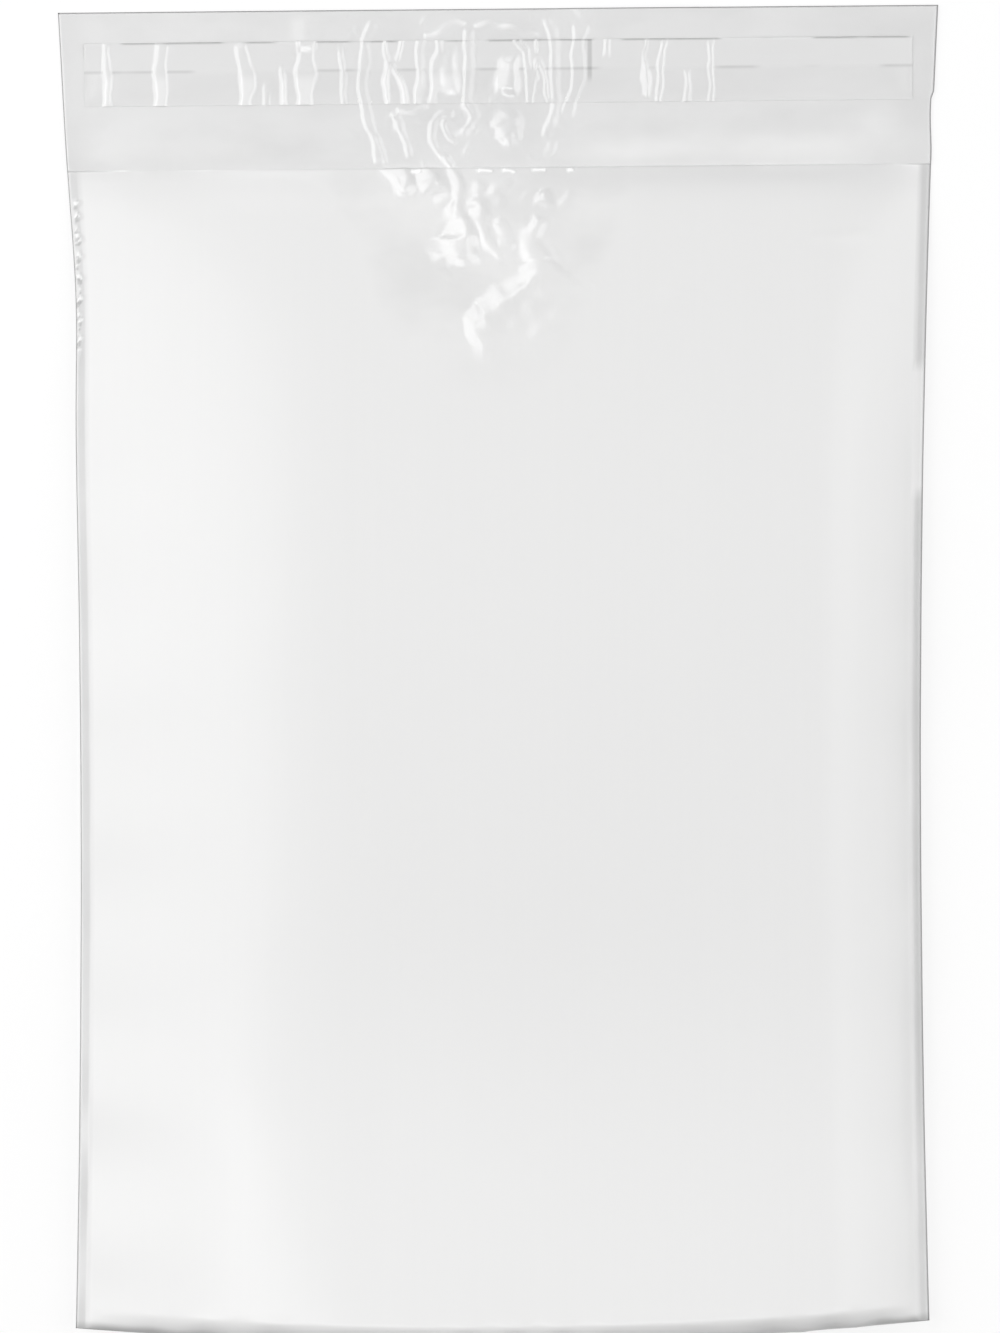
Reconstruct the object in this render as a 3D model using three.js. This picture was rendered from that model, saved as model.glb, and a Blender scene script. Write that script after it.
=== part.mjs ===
// A filled poly mailer bag with its flap still open, lying on its back.
// The bag is one film, folded at the bottom and welded along both sides.
// The film of the back runs on past the mouth and makes the flap.
// A band of adhesive lies across the flap, under a peel-off liner that has puckered into tunnels.
// Millimetres. +X runs across the bag, +Y from the bottom fold to the flap's free edge, +Z up.
// The origin is on the surface that the bag lies on, at the middle of its width and length.

import * as THREE from 'three';

const { clamp, lerp, smoothstep } = THREE.MathUtils;

// Film and outline
const bagWidth = 254; // flat width over both side welds
const bodyLength = 338.5; // bottom fold to mouth
const flapLength = 46; // mouth to the flap's free edge
const film = 0.3; // one layer of film
const weldWidth = 3; // flat margin of each side weld
const waistDraw = 6.1; // how far the filling draws each side in at the waist
const waistBelowMouth = 183; // mouth to the waist
const cornerDraw = 4.2; // how far each side is still drawn in at the bottom corners
const bottomBow = 5.5; // how far the bottom fold bows out past its corners

// Filling
const fillThickness = 20; // front to back at the middle of the body
const frontCrown = 1.6; // how far the front falls from its middle to its edges
const leftRound = 75; // reach of the rounding from the front down to the left weld, where the filling lies thinner
const rightRound = 26; // the same at the right weld
const foldRound = 6; // the same at the bottom fold
const backRound = 10; // reach of the rounding from the back up to a weld or the bottom fold
const seamHeight = 6.5; // height of the welds and the bottom fold over the surface
const mouthThickness = 1.2; // front to back at the mouth
const mouthRise = 1.3; // how far the front film stands up just below the mouth
const mouthRiseLength = 14;
const mouthSlope = 150; // length over which the filling thins out towards the mouth
const lipStep = 0.4; // length of the step where the front film ends

// Closing strip
const linerLength = 239;
const linerHeight = 18.2;
const linerThickness = 0.2;
const linerFromEdge = 9; // flap's free edge to the liner
const adhesiveLength = 236;
const adhesiveHeight = 9.2;
const adhesiveThickness = 0.2;
const adhesiveCorner = 1.5;
const adhesiveInset = 0.4; // liner's lower edge to the adhesive
const layerGap = 0.1; // between film, adhesive and liner

// Tunnels across the liner: place along it as a share of half its length, half width and height
const tunnelFoot = 0.45; // where the curve of a tunnel leaves the adhesive, as a share of its half width
const tunnelCrest = 0.6; // how far its crest stays round, as a share of its half width
const linerTunnels = [
  { place: -0.95, halfWidth: 1.4, height: 0.7 },
  { place: -0.81, halfWidth: 1.9, height: 1.3 },
  { place: -0.62, halfWidth: 2.8, height: 1.2 },
  { place: -0.525, halfWidth: 1.2, height: 0.6 },
  { place: -0.465, halfWidth: 2.6, height: 1.5 },
  { place: -0.37, halfWidth: 1.4, height: 0.7 },
  { place: -0.325, halfWidth: 1.5, height: 1.0 },
  { place: -0.26, halfWidth: 2.9, height: 1.4 },
  { place: -0.19, halfWidth: 1.3, height: 1.0 },
  { place: -0.145, halfWidth: 2.4, height: 1.3 },
  { place: -0.07, halfWidth: 1.6, height: 1.2 },
  { place: 0.01, halfWidth: 3.0, height: 1.3 },
  { place: 0.075, halfWidth: 1.5, height: 1.1 },
  { place: 0.13, halfWidth: 2.0, height: 1.2 },
  { place: 0.195, halfWidth: 2.2, height: 1.1 },
  { place: 0.35, halfWidth: 1.8, height: 0.9 },
  { place: 0.395, halfWidth: 1.5, height: 0.8 },
  { place: 0.46, halfWidth: 1.3, height: 0.7 },
  { place: 0.515, halfWidth: 1.6, height: 0.9 },
];

// Creases in the film: points across the bag and along it from the mouth, reach to each side and height.
// They gather at the middle of the mouth, and the last is the deep one that curls below it.
const creasePatch = { across: 42, below: 58 }; // half width of the patch, and its reach below the mouth
const creaseFade = 4; // length over which the creases die away under the closing strip
const filmCreases = [
  { points: [[-37, 17], [-35, 9], [-32, -2]], reach: 4.4, height: 1.1 },
  { points: [[-29, 16], [-26, 8], [-24, -4]], reach: 4.4, height: 1.1 },
  { points: [[-9, 17], [-18, 13], [-16, 5], [-13, 0], [-12, -12]], reach: 4.4, height: 1.3 },
  { points: [[-12, -12], [-16, -19], [-22, -17]], reach: 7.2, height: 1.4 },
  { points: [[-8, -9], [-8, -16], [-1, -23]], reach: 5.6, height: 1.3 },
  { points: [[6, 16], [-2, 6]], reach: 6.4, height: 1.1 },
  { points: [[16, 17], [13, 4]], reach: 4.4, height: 0.9 },
  { points: [[11, -9], [9, -17], [12, -27]], reach: 6.0, height: 1.4 },
  { points: [[12, -27], [3, -35], [-6, -42], [-14, -47]], reach: 8.4, height: 2.2 },
];

// Grid of the film
const columnsOfCreases = 34;
const columnsOfSide = 10; // from the creases out to a weld
const stepsOfRound = 6; // from the front or the back round to an edge
const columnsOfBack = 5;
const rowsOfPlainBody = 14;
const rowsOfCreases = 17;
const rowsOfFlapCreases = 6;

// Places that follow from the sizes
const bottomY = -(bodyLength + flapLength) / 2;
const flapEdgeY = bottomY + bodyLength + flapLength;
const mouthY = flapEdgeY - flapLength;
const waistY = mouthY - waistBelowMouth;
const linerTopY = flapEdgeY - linerFromEdge;
const linerBottomY = linerTopY - linerHeight;
const weldThickness = 2 * film;

// Materials
const filmMaterial = new THREE.MeshStandardMaterial({ color: 0xe9e9e8, roughness: 0.3, metalness: 0 });
const adhesiveMaterial = new THREE.MeshStandardMaterial({ color: 0xcfcfca, roughness: 0.55, metalness: 0 });
const linerMaterial = new THREE.MeshStandardMaterial({ color: 0xdededd, roughness: 0.2, metalness: 0 });

// Half of the bag's width at a place along it: two parabolas that meet at the waist
function halfWidthAt(y) {
  const above = Math.max(0, (y - waistY) / (flapEdgeY - waistY));
  const below = Math.max(0, (waistY - y) / (waistY - bottomY));
  const draw = waistDraw * (1 - above ** 2) - (waistDraw - cornerDraw) * below ** 2;
  return bagWidth / 2 - draw;
}

// A quarter of an ellipse, from 0 at an edge to 1 at the end of the rounding
function roundOff(distance, reach) {
  const left = 1 - Math.min(1, Math.max(0, distance) / reach);
  return Math.sqrt(1 - left * left);
}

// A parabola's rise over the same stretch, which leaves the edge at an angle as film leaves a weld
function pillow(distance, reach) {
  const share = clamp(distance / reach, 0, 1);
  return share * (2 - share);
}

// Share of the full filling at a place along the bag
function fillShare(y) {
  return pillow(mouthY - y, mouthSlope);
}

// Distance from a point to the nearest stretch of a crease
function distanceToCrease(x, y, points) {
  const at = new THREE.Vector3(x, y, 0);
  const nearest = new THREE.Vector3();
  const corners = points.map(([across, along]) => new THREE.Vector3(across, mouthY + along, 0));
  const distances = corners.slice(1).map((end, i) => {
    new THREE.Line3(corners[i], end).closestPointToPoint(at, true, nearest);
    return nearest.distanceTo(at);
  });
  return Math.min(...distances);
}

// Height that the creases add to the film, which lies flat under the closing strip
function creaseHeight(x, y) {
  const free = 1 - smoothstep(y, linerBottomY - creaseFade, linerBottomY);
  const heights = filmCreases.map(({ points, reach, height }) => {
    const share = Math.min(1, distanceToCrease(x, y, points) / reach);
    return height * Math.cos((share * Math.PI) / 2) ** 2;
  });
  return free * Math.max(0, ...heights);
}

// Places across one row of the front, from the left edge to the right one
function frontColumns(half) {
  const middle = [];
  for (let i = 0; i <= columnsOfCreases; i++) {
    middle.push(lerp(-creasePatch.across, creasePatch.across, i / columnsOfCreases));
  }
  const side = sideColumns(half);
  return [...side.map((x) => -x).reverse(), ...middle, ...side];
}

// Places from the creases out to one edge, closer together towards the weld
function sideColumns(half) {
  const places = [];
  for (let i = 1; i <= columnsOfSide; i++) {
    const share = Math.sin((i / columnsOfSide) * (Math.PI / 2));
    places.push(lerp(creasePatch.across, half - weldWidth, share));
  }
  return [...places, half];
}

// Places across one row of the back, which needs fewer
function backColumns(half) {
  const inner = half - weldWidth;
  const roundEnd = inner - backRound;
  const places = [-half];
  for (let i = stepsOfRound; i > 0; i--) {
    places.push(-roundEnd - backRound * Math.sin((i / stepsOfRound) * (Math.PI / 2)));
  }
  for (let i = 0; i <= columnsOfBack; i++) {
    places.push(lerp(-roundEnd, roundEnd, i / columnsOfBack));
  }
  for (let i = 1; i <= stepsOfRound; i++) {
    places.push(roundEnd + backRound * Math.sin((i / stepsOfRound) * (Math.PI / 2)));
  }
  return [...places, half];
}

// Rows along the bag, from the bottom fold to the flap's free edge
function rowsAlong() {
  const rows = [];
  for (let i = 0; i < stepsOfRound; i++) {
    rows.push(bottomY + foldRound * (1 - Math.cos((i / stepsOfRound) * (Math.PI / 2))));
  }
  rows.push(bottomY + foldRound);
  const plainStart = bottomY + backRound;
  const creaseStart = mouthY - creasePatch.below;
  for (let i = 0; i < rowsOfPlainBody; i++) {
    rows.push(lerp(plainStart, creaseStart, i / rowsOfPlainBody));
  }
  for (let i = 0; i <= rowsOfCreases; i++) {
    rows.push(lerp(creaseStart, mouthY, i / rowsOfCreases));
  }
  for (let i = 0; i <= rowsOfFlapCreases; i++) {
    rows.push(lerp(mouthY + lipStep, linerBottomY, i / rowsOfFlapCreases));
  }
  rows.push(flapEdgeY);
  return rows;
}

// The front's height: film and filling up to the mouth, one layer of film on the flap
function frontHeight(x, y, half) {
  if (y > mouthY) return film + creaseHeight(x, y);
  const share = fillShare(y);
  const across = x / half;
  const along = (y - bottomY) / bodyLength;
  const crown = frontCrown * share * (across ** 2 + (2 * along - 1) ** 2) / 2;
  const weldTop = seamHeight * share + weldThickness;
  const lip = mouthThickness + mouthRise * smoothstep(mouthY - y, 0, mouthRiseLength);
  const fullHeight = lerp(lip, fillThickness, share) - crown;
  const sideRound = x < 0 ? leftRound : rightRound;
  const rise = pillow(half - weldWidth - Math.abs(x), sideRound) * roundOff(y - bottomY, foldRound);
  return weldTop + (fullHeight - weldTop) * rise + creaseHeight(x, y) * rise;
}

// The back's height: flat on the surface, rounded up to the welds and the bottom fold
function backHeight(x, y, half) {
  const rise = roundOff(half - weldWidth - Math.abs(x), backRound) * roundOff(y - bottomY, backRound);
  return seamHeight * fillShare(y) * (1 - rise);
}

// A point of the film, with the bottom fold bowed out between its corners
function filmPoint(x, y, half, height) {
  const bowed = 1 - smoothstep(y, bottomY, bottomY + bodyLength / 2);
  return new THREE.Vector3(x, y + bottomBow * bowed * (x / half) ** 2, height(x, y, half));
}

// A closed skin over rows of points: each row has a front and a back line, both from left to right
function loftRows(rows) {
  const frontCount = rows[0].front.length;
  const backCount = rows[0].back.length;
  const ringCount = frontCount + backCount;
  const points = rows.flatMap(({ front, back }) => [...front, ...back.slice().reverse()]);
  const index = [];
  for (let row = 0; row < rows.length - 1; row++) {
    for (let i = 0; i < ringCount; i++) {
      const a = row * ringCount + i;
      const b = row * ringCount + ((i + 1) % ringCount);
      index.push(a, b, b + ringCount, a, b + ringCount, a + ringCount);
    }
  }
  index.push(...closeEnd(points, 0, frontCount, ringCount, false));
  index.push(...closeEnd(points, (rows.length - 1) * ringCount, frontCount, ringCount, true));
  const geometry = new THREE.BufferGeometry().setFromPoints(points);
  geometry.setIndex(index);
  geometry.computeVertexNormals();
  return geometry;
}

// Triangles between the front and back lines of an end row, zipped from left to right
function closeEnd(points, start, frontCount, ringCount, facesForward) {
  const triangles = [];
  const lastFront = start + frontCount - 1;
  let front = start;
  let back = start + ringCount - 1;
  while (front < lastFront || back > lastFront + 1) {
    const frontNext = front < lastFront ? points[front + 1].x : Infinity;
    const backNext = back > lastFront + 1 ? points[back - 1].x : Infinity;
    const takesFront = frontNext <= backNext;
    const tip = takesFront ? front + 1 : back - 1;
    triangles.push(...(facesForward ? [front, tip, back] : [front, back, tip]));
    if (takesFront) front = tip;
    else back = tip;
  }
  return triangles;
}

// The bag with its filling, and the flap
function mailerBag() {
  const rows = rowsAlong().map((y) => {
    const half = halfWidthAt(y);
    return {
      front: frontColumns(half).map((x) => filmPoint(x, y, half, frontHeight)),
      back: backColumns(half).map((x) => filmPoint(x, y, half, backHeight)),
    };
  });
  const bag = new THREE.Mesh(loftRows(rows), filmMaterial);
  bag.name = 'mailer_bag';
  return bag;
}

// The band of adhesive on the flap
function adhesiveStrip() {
  const x = adhesiveLength / 2;
  const y = adhesiveHeight / 2;
  const corner = adhesiveCorner;
  const outline = new THREE.Shape();
  outline.moveTo(-x + corner, -y);
  outline.absarc(x - corner, -y + corner, corner, -Math.PI / 2, 0);
  outline.absarc(x - corner, y - corner, corner, 0, Math.PI / 2);
  outline.absarc(-x + corner, y - corner, corner, Math.PI / 2, Math.PI);
  outline.absarc(-x + corner, -y + corner, corner, Math.PI, 1.5 * Math.PI);
  const options = { depth: adhesiveThickness, bevelEnabled: false, curveSegments: 4 };
  const strip = new THREE.Mesh(new THREE.ExtrudeGeometry(outline, options), adhesiveMaterial);
  strip.position.set(0, linerBottomY + adhesiveInset + y, film + layerGap);
  strip.name = 'adhesive_strip';
  return strip;
}

// One long edge of the liner's profile, humped at each tunnel
function linerEdge(path, height, direction) {
  const half = linerLength / 2;
  const tunnels = direction > 0 ? linerTunnels : linerTunnels.slice().reverse();
  for (const { place, halfWidth, height: tunnelHeight } of tunnels) {
    const middle = place * (half - halfWidth);
    const side = direction * halfWidth;
    const foot = side * tunnelFoot;
    const crest = side * tunnelCrest;
    const top = height + tunnelHeight;
    path.lineTo(middle - side, height);
    path.bezierCurveTo(middle - foot, height, middle - crest, top, middle, top);
    path.bezierCurveTo(middle + crest, top, middle + foot, height, middle + side, height);
  }
  path.lineTo(direction * half, height);
}

// The peel-off liner over the adhesive, with a dry edge towards the flap's free edge
function releaseLiner() {
  const profile = new THREE.Shape();
  profile.moveTo(-linerLength / 2, 0);
  linerEdge(profile, 0, 1);
  profile.lineTo(linerLength / 2, linerThickness);
  linerEdge(profile, linerThickness, -1);
  const options = { depth: linerHeight, bevelEnabled: false, curveSegments: 4 };
  const liner = new THREE.Mesh(new THREE.ExtrudeGeometry(profile, options), linerMaterial);
  liner.rotation.x = Math.PI / 2;
  liner.position.set(0, linerTopY, film + layerGap + adhesiveThickness + layerGap);
  liner.name = 'release_liner';
  return liner;
}

const polyMailer = new THREE.Group();
polyMailer.add(mailerBag(), adhesiveStrip(), releaseLiner());

export default polyMailer;
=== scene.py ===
import math

import bmesh
import bpy
import numpy as np
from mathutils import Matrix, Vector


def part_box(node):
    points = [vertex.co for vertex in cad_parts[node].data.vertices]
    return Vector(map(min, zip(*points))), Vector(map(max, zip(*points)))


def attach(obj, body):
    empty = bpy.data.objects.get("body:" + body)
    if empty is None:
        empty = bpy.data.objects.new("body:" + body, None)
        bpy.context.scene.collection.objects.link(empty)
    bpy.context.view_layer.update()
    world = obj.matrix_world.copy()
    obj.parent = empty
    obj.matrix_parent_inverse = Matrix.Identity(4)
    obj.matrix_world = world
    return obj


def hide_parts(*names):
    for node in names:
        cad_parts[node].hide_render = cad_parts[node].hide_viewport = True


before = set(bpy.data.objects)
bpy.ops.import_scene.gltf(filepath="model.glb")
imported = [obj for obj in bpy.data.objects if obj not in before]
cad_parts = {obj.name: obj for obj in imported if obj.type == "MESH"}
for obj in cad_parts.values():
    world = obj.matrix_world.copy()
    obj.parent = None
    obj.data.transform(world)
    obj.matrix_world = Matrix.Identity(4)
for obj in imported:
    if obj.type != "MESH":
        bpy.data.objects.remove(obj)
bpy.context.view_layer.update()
mm = 0.001  # the sculpting below is done in millimetres and scaled to metres at the end


def boxInMm(node):
    low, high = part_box(node)
    return low / mm, high / mm


bagLow, bagHigh = boxInMm("mailer_bag")
linerLow, linerHigh = boxInMm("release_liner")
adhesiveLow, adhesiveHigh = boxInMm("adhesive_strip")
print("frame: bag", [round(n, 1) for n in bagHigh - bagLow], "mm")


# Camera: straight down on the front, turned a touch as the bag is in the picture
shot = {
    "middle": (-0.1, 2.5),  # mm, what the lens points at
    "height": 2200,  # mm over the surface
    "frameLength": 384.7,  # mm of the surface along the long side of the picture
    "roll": -0.2,  # degrees
    "clipEnd": 50,  # m
}


def placeCamera():
    lens = bpy.data.cameras.new("shotLens")
    lens.lens = lens.sensor_width * shot["height"] / shot["frameLength"]
    lens.clip_end = shot["clipEnd"]
    camera = bpy.data.objects.new("shotCamera", lens)
    camera.location = (shot["middle"][0] * mm, shot["middle"][1] * mm, shot["height"] * mm)
    camera.rotation_euler = (0, 0, math.radians(shot["roll"]))
    bpy.context.scene.collection.objects.link(camera)
    bpy.context.scene.camera = camera
    print("camera: lens", round(lens.lens), "mm")


placeCamera()


# Shader maths as Python: a Wire is one output socket, a Finish is a material being wired
class Wire:
    def __init__(self, finish, socket):
        self.finish = finish
        self.socket = socket

    def maths(self, operation, first, second):
        return self.finish.node("ShaderNodeMath", {"operation": operation}, {0: first, 1: second})

    def __add__(self, other):
        return self.maths("ADD", self, other)

    def __radd__(self, other):
        return self.maths("ADD", other, self)

    def __sub__(self, other):
        return self.maths("SUBTRACT", self, other)

    def __rsub__(self, other):
        return self.maths("SUBTRACT", other, self)

    def __mul__(self, other):
        return self.maths("MULTIPLY", self, other)

    def __rmul__(self, other):
        return self.maths("MULTIPLY", other, self)


class Finish:
    def __init__(self, owner):  # a new material, or the world
        self.owner = owner
        owner.use_nodes = True
        self.tree = owner.node_tree
        self.tree.nodes.clear()

    def node(self, kind, settings=None, sockets=None, out=0):
        made = self.tree.nodes.new(kind)
        for key, value in (settings or {}).items():
            setattr(made, key, value)
        for key, value in (sockets or {}).items():
            if isinstance(value, Wire):
                self.tree.links.new(value.socket, made.inputs[key])
            else:
                made.inputs[key].default_value = value
        return Wire(self, made.outputs[out]) if len(made.outputs) else None

    def place(self, scale):  # object coordinates, stretched by a scale per axis
        coordinates = self.node("ShaderNodeTexCoord", out="Object")
        return self.node("ShaderNodeMapping", None, {"Vector": coordinates, "Scale": scale})

    def noise(self, scale, detail=2.0, roughness=0.5):
        sockets = {"Vector": self.place(scale), "Scale": 1.0, "Detail": detail, "Roughness": roughness}
        return self.node("ShaderNodeTexNoise", None, sockets)

    def attribute(self, name):
        return self.node("ShaderNodeAttribute", {"attribute_name": name}, None, "Fac")

    def between(self, value, low, high, outLow=0.0, outHigh=1.0):  # a clamped remap
        sockets = {"Value": value, "From Min": low, "From Max": high, "To Min": outLow, "To Max": outHigh}
        return self.node("ShaderNodeMapRange", {"clamp": True}, sockets)

    def blend(self, share, first, second):  # from one colour to another
        sockets = {0: share, 6: first, 7: second}
        return self.node("ShaderNodeMix", {"data_type": "RGBA"}, sockets, 2)

    def bump(self, height, distance, strength, under=None):
        sockets = {"Height": height, "Distance": distance, "Strength": strength}
        if under is not None:
            sockets["Normal"] = under
        return self.node("ShaderNodeBump", None, sockets)

    def seen(self):  # over 0 for the rays that see a background: from the camera, off gloss or through film
        rays = ("Is Camera Ray", "Is Glossy Ray", "Is Transmission Ray")
        camera, glossy, through = [self.node("ShaderNodeLightPath", None, None, ray) for ray in rays]
        return camera + glossy + through

    def close(self, shader, output="ShaderNodeOutputMaterial"):
        self.node(output, None, {"Surface": shader})
        return self.owner


greenShare = 0.3  # a warm grey has less blue, and a little less green


def grey(level, warm=0.0):
    return (level, level * (1 - greenShare * warm), level * (1 - warm), 1)


# Looks of the film: milky and glossy, paler where the filling lies behind it, greyer in the welds, with
# painted highlights and painted shade
filmLook = {
    "flap": grey(0.69),
    "filled": grey(0.735, 0.004),
    "filledLoose": grey(0.745, 0.004),  # under the full coat
    "bottomSheen": grey(0.785, 0.004),  # paler towards the bottom, a painted sheen
    "weld": grey(0.58),
    # painted highlight, for the glints along the lip's gathers, the weld's crinkles and the flap's hardest
    # folds
    "paintedHighlight": grey(0.96),
    # dark cut rims, and painted shade in the weld's hollows and along the right weld
    "edgeAndShade": grey(0.42),
    # painted shade along the bottom fold
    "fold": grey(0.32),
    "haze": grey(0.5),  # smudges, clouds and streaks, each by its share
    "smudgeShare": 0.25,
    "cloudShare": 0.08,
    "streakShare": 0.03,
    "clouds": (14, 9, 14),  # noise along each axis, in waves per metre
    "streaks": (520, 7, 40),
    "mottle": (30, 34, 30),
    "smudges": (34, 58, 34),
    "crinkles": (260, 190, 260),
    "crinkleDepth": 0.00012,  # m
    "crinkleStrength": 0.22,
    "streakDepth": 0.00005,
    "streakStrength": 0.25,
    "loose": 0.3,  # roughness of the loose film, and of the film over the filling's texture
    "taut": 0.42,
    "cloudRough": 0.03,  # roughness that clouds and welds add
    "weldRough": 0.08,
    "index": 1.56,
    "coat": 1.0,  # crisp gloss of the loose film, and of the taut film
    "coatTaut": 0.35,
    "coatRoughness": 0.17,
    "coatIndex": 1.5,
}


def milkyFilm():
    film = Finish(bpy.data.materials.new("milkyFilm"))
    taut = film.attribute("taut")
    weld = film.attribute("weld")
    clouds = film.noise(filmLook["clouds"], 3.0)
    streaks = film.noise(filmLook["streaks"], 2.0)
    mottle = film.between(film.noise(filmLook["mottle"]), 0.3, 0.7, 0.55, 1.0)
    smudges = film.between(film.noise(filmLook["smudges"], 3.0), 0.42, 0.68)
    hazy = clouds * filmLook["cloudShare"] + streaks * filmLook["streakShare"]
    tone = film.blend(film.attribute("bottomSheen"), filmLook["filled"], filmLook["bottomSheen"])
    tone = film.blend(taut, filmLook["filledLoose"], tone)
    tone = film.blend(film.attribute("filled"), filmLook["flap"], tone)
    tone = film.blend((1 - taut) * smudges * filmLook["smudgeShare"], tone, filmLook["haze"])
    tone = film.blend(weld * mottle, tone, filmLook["weld"])
    # painted highlights
    tone = film.blend(film.attribute("paintedHighlight"), tone, filmLook["paintedHighlight"])
    tone = film.blend(film.attribute("edgeAndShade"), tone, filmLook["edgeAndShade"])
    # painted shade along the bottom fold
    tone = film.blend(film.attribute("fold"), tone, filmLook["fold"])
    tone = film.blend(hazy, tone, filmLook["haze"])
    rough = film.between(taut, 0, 1, filmLook["loose"], filmLook["taut"])
    crinkles = film.noise(filmLook["crinkles"], 3.0)
    crinkled = film.bump(crinkles, filmLook["crinkleDepth"], filmLook["crinkleStrength"])
    sockets = {
        "Base Color": tone,
        "Roughness": rough + (clouds - 0.5) * filmLook["cloudRough"] + weld * filmLook["weldRough"],
        "Normal": film.bump(streaks, filmLook["streakDepth"], filmLook["streakStrength"], crinkled),
        "Coat Weight": film.between(taut * (1 - weld), 0, 1, filmLook["coat"], filmLook["coatTaut"]),
        "IOR": filmLook["index"],
        "Coat Roughness": filmLook["coatRoughness"],
        "Coat IOR": filmLook["coatIndex"],
    }
    return film.close(film.node("ShaderNodeBsdfPrincipled", None, sockets))


# Looks of the liner: clearer and glossier, greyer where the adhesive wets it, with painted highlights on its
# tunnels and painted shadow lines
linerLook = {
    "tone": grey(0.80),
    "stuck": grey(0.765),  # where the adhesive wets it
    "paintedHighlight": grey(0.97),  # painted highlight on the right flanks of its tunnels and inside them
    "line": grey(0.40),  # cut edge, with painted shadow under its lifted top, the adhesive's edge showing through, and a painted shadow beside the wide fold
    "patches": (38, 90, 38),  # noise along each axis, in waves per metre
    "streaks": (300, 20, 40),
    "streakDepth": 0.00005,  # m
    "streakStrength": 0.2,
    "streakRough": 0.06,
    "opacity": 0.8,
    "gloss": 0.3,
    "coatIndex": 1.6,
    "coatRoughness": 0.14,
}


def linerFilm():
    liner = Finish(bpy.data.materials.new("linerFilm"))
    streaks = liner.noise(linerLook["streaks"], 2.0)
    patches = liner.between(liner.noise(linerLook["patches"], 3.0), 0.35, 0.6, 0.3, 1.0)
    streaked = liner.between(streaks, 0.3, 0.7, 0.0, linerLook["streakRough"])
    tone = liner.blend(liner.attribute("stuck") * patches, linerLook["tone"], linerLook["stuck"])
    tone = liner.blend(liner.attribute("paintedHighlight"), tone, linerLook["paintedHighlight"])
    tone = liner.blend(liner.attribute("linesAndShadow"), tone, linerLook["line"])
    sockets = {
        "Base Color": tone,
        "Roughness": linerLook["gloss"] + streaked,
        "Alpha": linerLook["opacity"],
        "Normal": liner.bump(streaks, linerLook["streakDepth"], linerLook["streakStrength"]),
        "Coat Weight": 1.0,
        "Coat Roughness": linerLook["coatRoughness"],
        "Coat IOR": linerLook["coatIndex"],
    }
    return liner.close(liner.node("ShaderNodeBsdfPrincipled", None, sockets))


# Looks of the adhesive: satin, a little warm, with the ribs of its coating
adhesiveLook = {
    "tone": grey(0.74, 0.01),
    "thin": grey(0.78, 0.005),
    "gloss": 0.4,
    "patches": (45, 60, 45),  # noise along each axis, in waves per metre
    "patchRough": 0.15,
    "ribs": (20, 900, 20),
    "ribDepth": 0.00006,  # m
    "ribStrength": 0.4,
}


def tackyAdhesive():
    adhesive = Finish(bpy.data.materials.new("tackyAdhesive"))
    patches = adhesive.noise(adhesiveLook["patches"], 3.0)
    ribs = adhesive.noise(adhesiveLook["ribs"], 1.0)
    patchy = adhesive.between(patches, 0.3, 0.7, 0.0, adhesiveLook["patchRough"])
    tone = adhesive.blend(adhesive.between(patches, 0.35, 0.65), adhesiveLook["thin"], adhesiveLook["tone"])
    sockets = {
        "Base Color": tone,
        "Roughness": adhesiveLook["gloss"] + patchy,
        "Normal": adhesive.bump(ribs, adhesiveLook["ribDepth"], adhesiveLook["ribStrength"]),
    }
    return adhesive.close(adhesive.node("ShaderNodeBsdfPrincipled", None, sockets))


# Shaping helpers, all on arrays of places in millimetres
def ease(value, start, end):
    share = np.clip((value - start) / (end - start), 0, 1)
    return share * share * (3 - 2 * share)


def roundOff(distance, reach):  # a quarter of an ellipse, 0 at the edge and 1 at the end of its reach
    left = 1 - np.clip(distance / reach, 0, 1)
    return np.sqrt(1 - left * left)


def pillow(distance, reach):  # a parabola's rise, which leaves the edge at an angle as film leaves a weld
    share = np.clip(distance / reach, 0, 1)
    return share * (2 - share)


def shareOut(*stretches):  # grid lines: each stretch has a start, an end and a number of steps
    lines = [np.linspace(start, end, steps, endpoint=False) for start, end, steps in stretches]
    return np.append(np.concatenate(lines), stretches[-1][1])


stroke = {  # how a crease is drawn, in mm
    "spanSteps": 6,  # points of a curve between two points of its line
    "wobble": 0.2,  # sideways swing of the line, and the length of its waves
    "wobbleLength": 1.9,
    "margin": 1.3,  # how far round a crease the film is looked at, in its own widths
    "slow": (0.14, 0.9),  # share by which a flank's width swings, and how fast
    "fast": (0.08, 2.1),
    "top": (0.25, 2.3),  # share by which the flat top's width swings, and the length of its waves
}


def smoothLine(points):  # a curve through a few given points
    knots = np.array(points, float)
    knots = np.vstack([2 * knots[0] - knots[1], knots, 2 * knots[-1] - knots[-2]])
    share = np.linspace(0, 1, stroke["spanSteps"], endpoint=False)[:, None]
    spans = []
    for before, start, end, after in zip(knots, knots[1:], knots[2:], knots[3:]):
        bend = (2 * before - 5 * start + 4 * end - after) * share**2
        bend += (3 * start - before - 3 * end + after) * share**3
        spans.append(start + 0.5 * ((end - before) * share + bend))
    return np.vstack(spans + [knots[-2]])


def handDrawn(line):  # the curve with a slight wobble
    curve = smoothLine(line)
    run = np.append(0, np.cumsum(np.hypot(*np.diff(curve, axis=0).T)))
    curve[:, 0] += stroke["wobble"] * np.sin(run / stroke["wobbleLength"] + line[0][0])
    return curve


def ramp(share, soft):  # from 0 to 1 at one steady slope, rounded at both ends
    share = np.clip(share, 0, 1)
    low = share**2 / (2 * soft)
    high = 1 - soft - (1 - share) ** 2 / (2 * soft)
    return np.select([share < soft, share > 1 - soft], [low, high], share - soft / 2) / (1 - soft)


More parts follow.
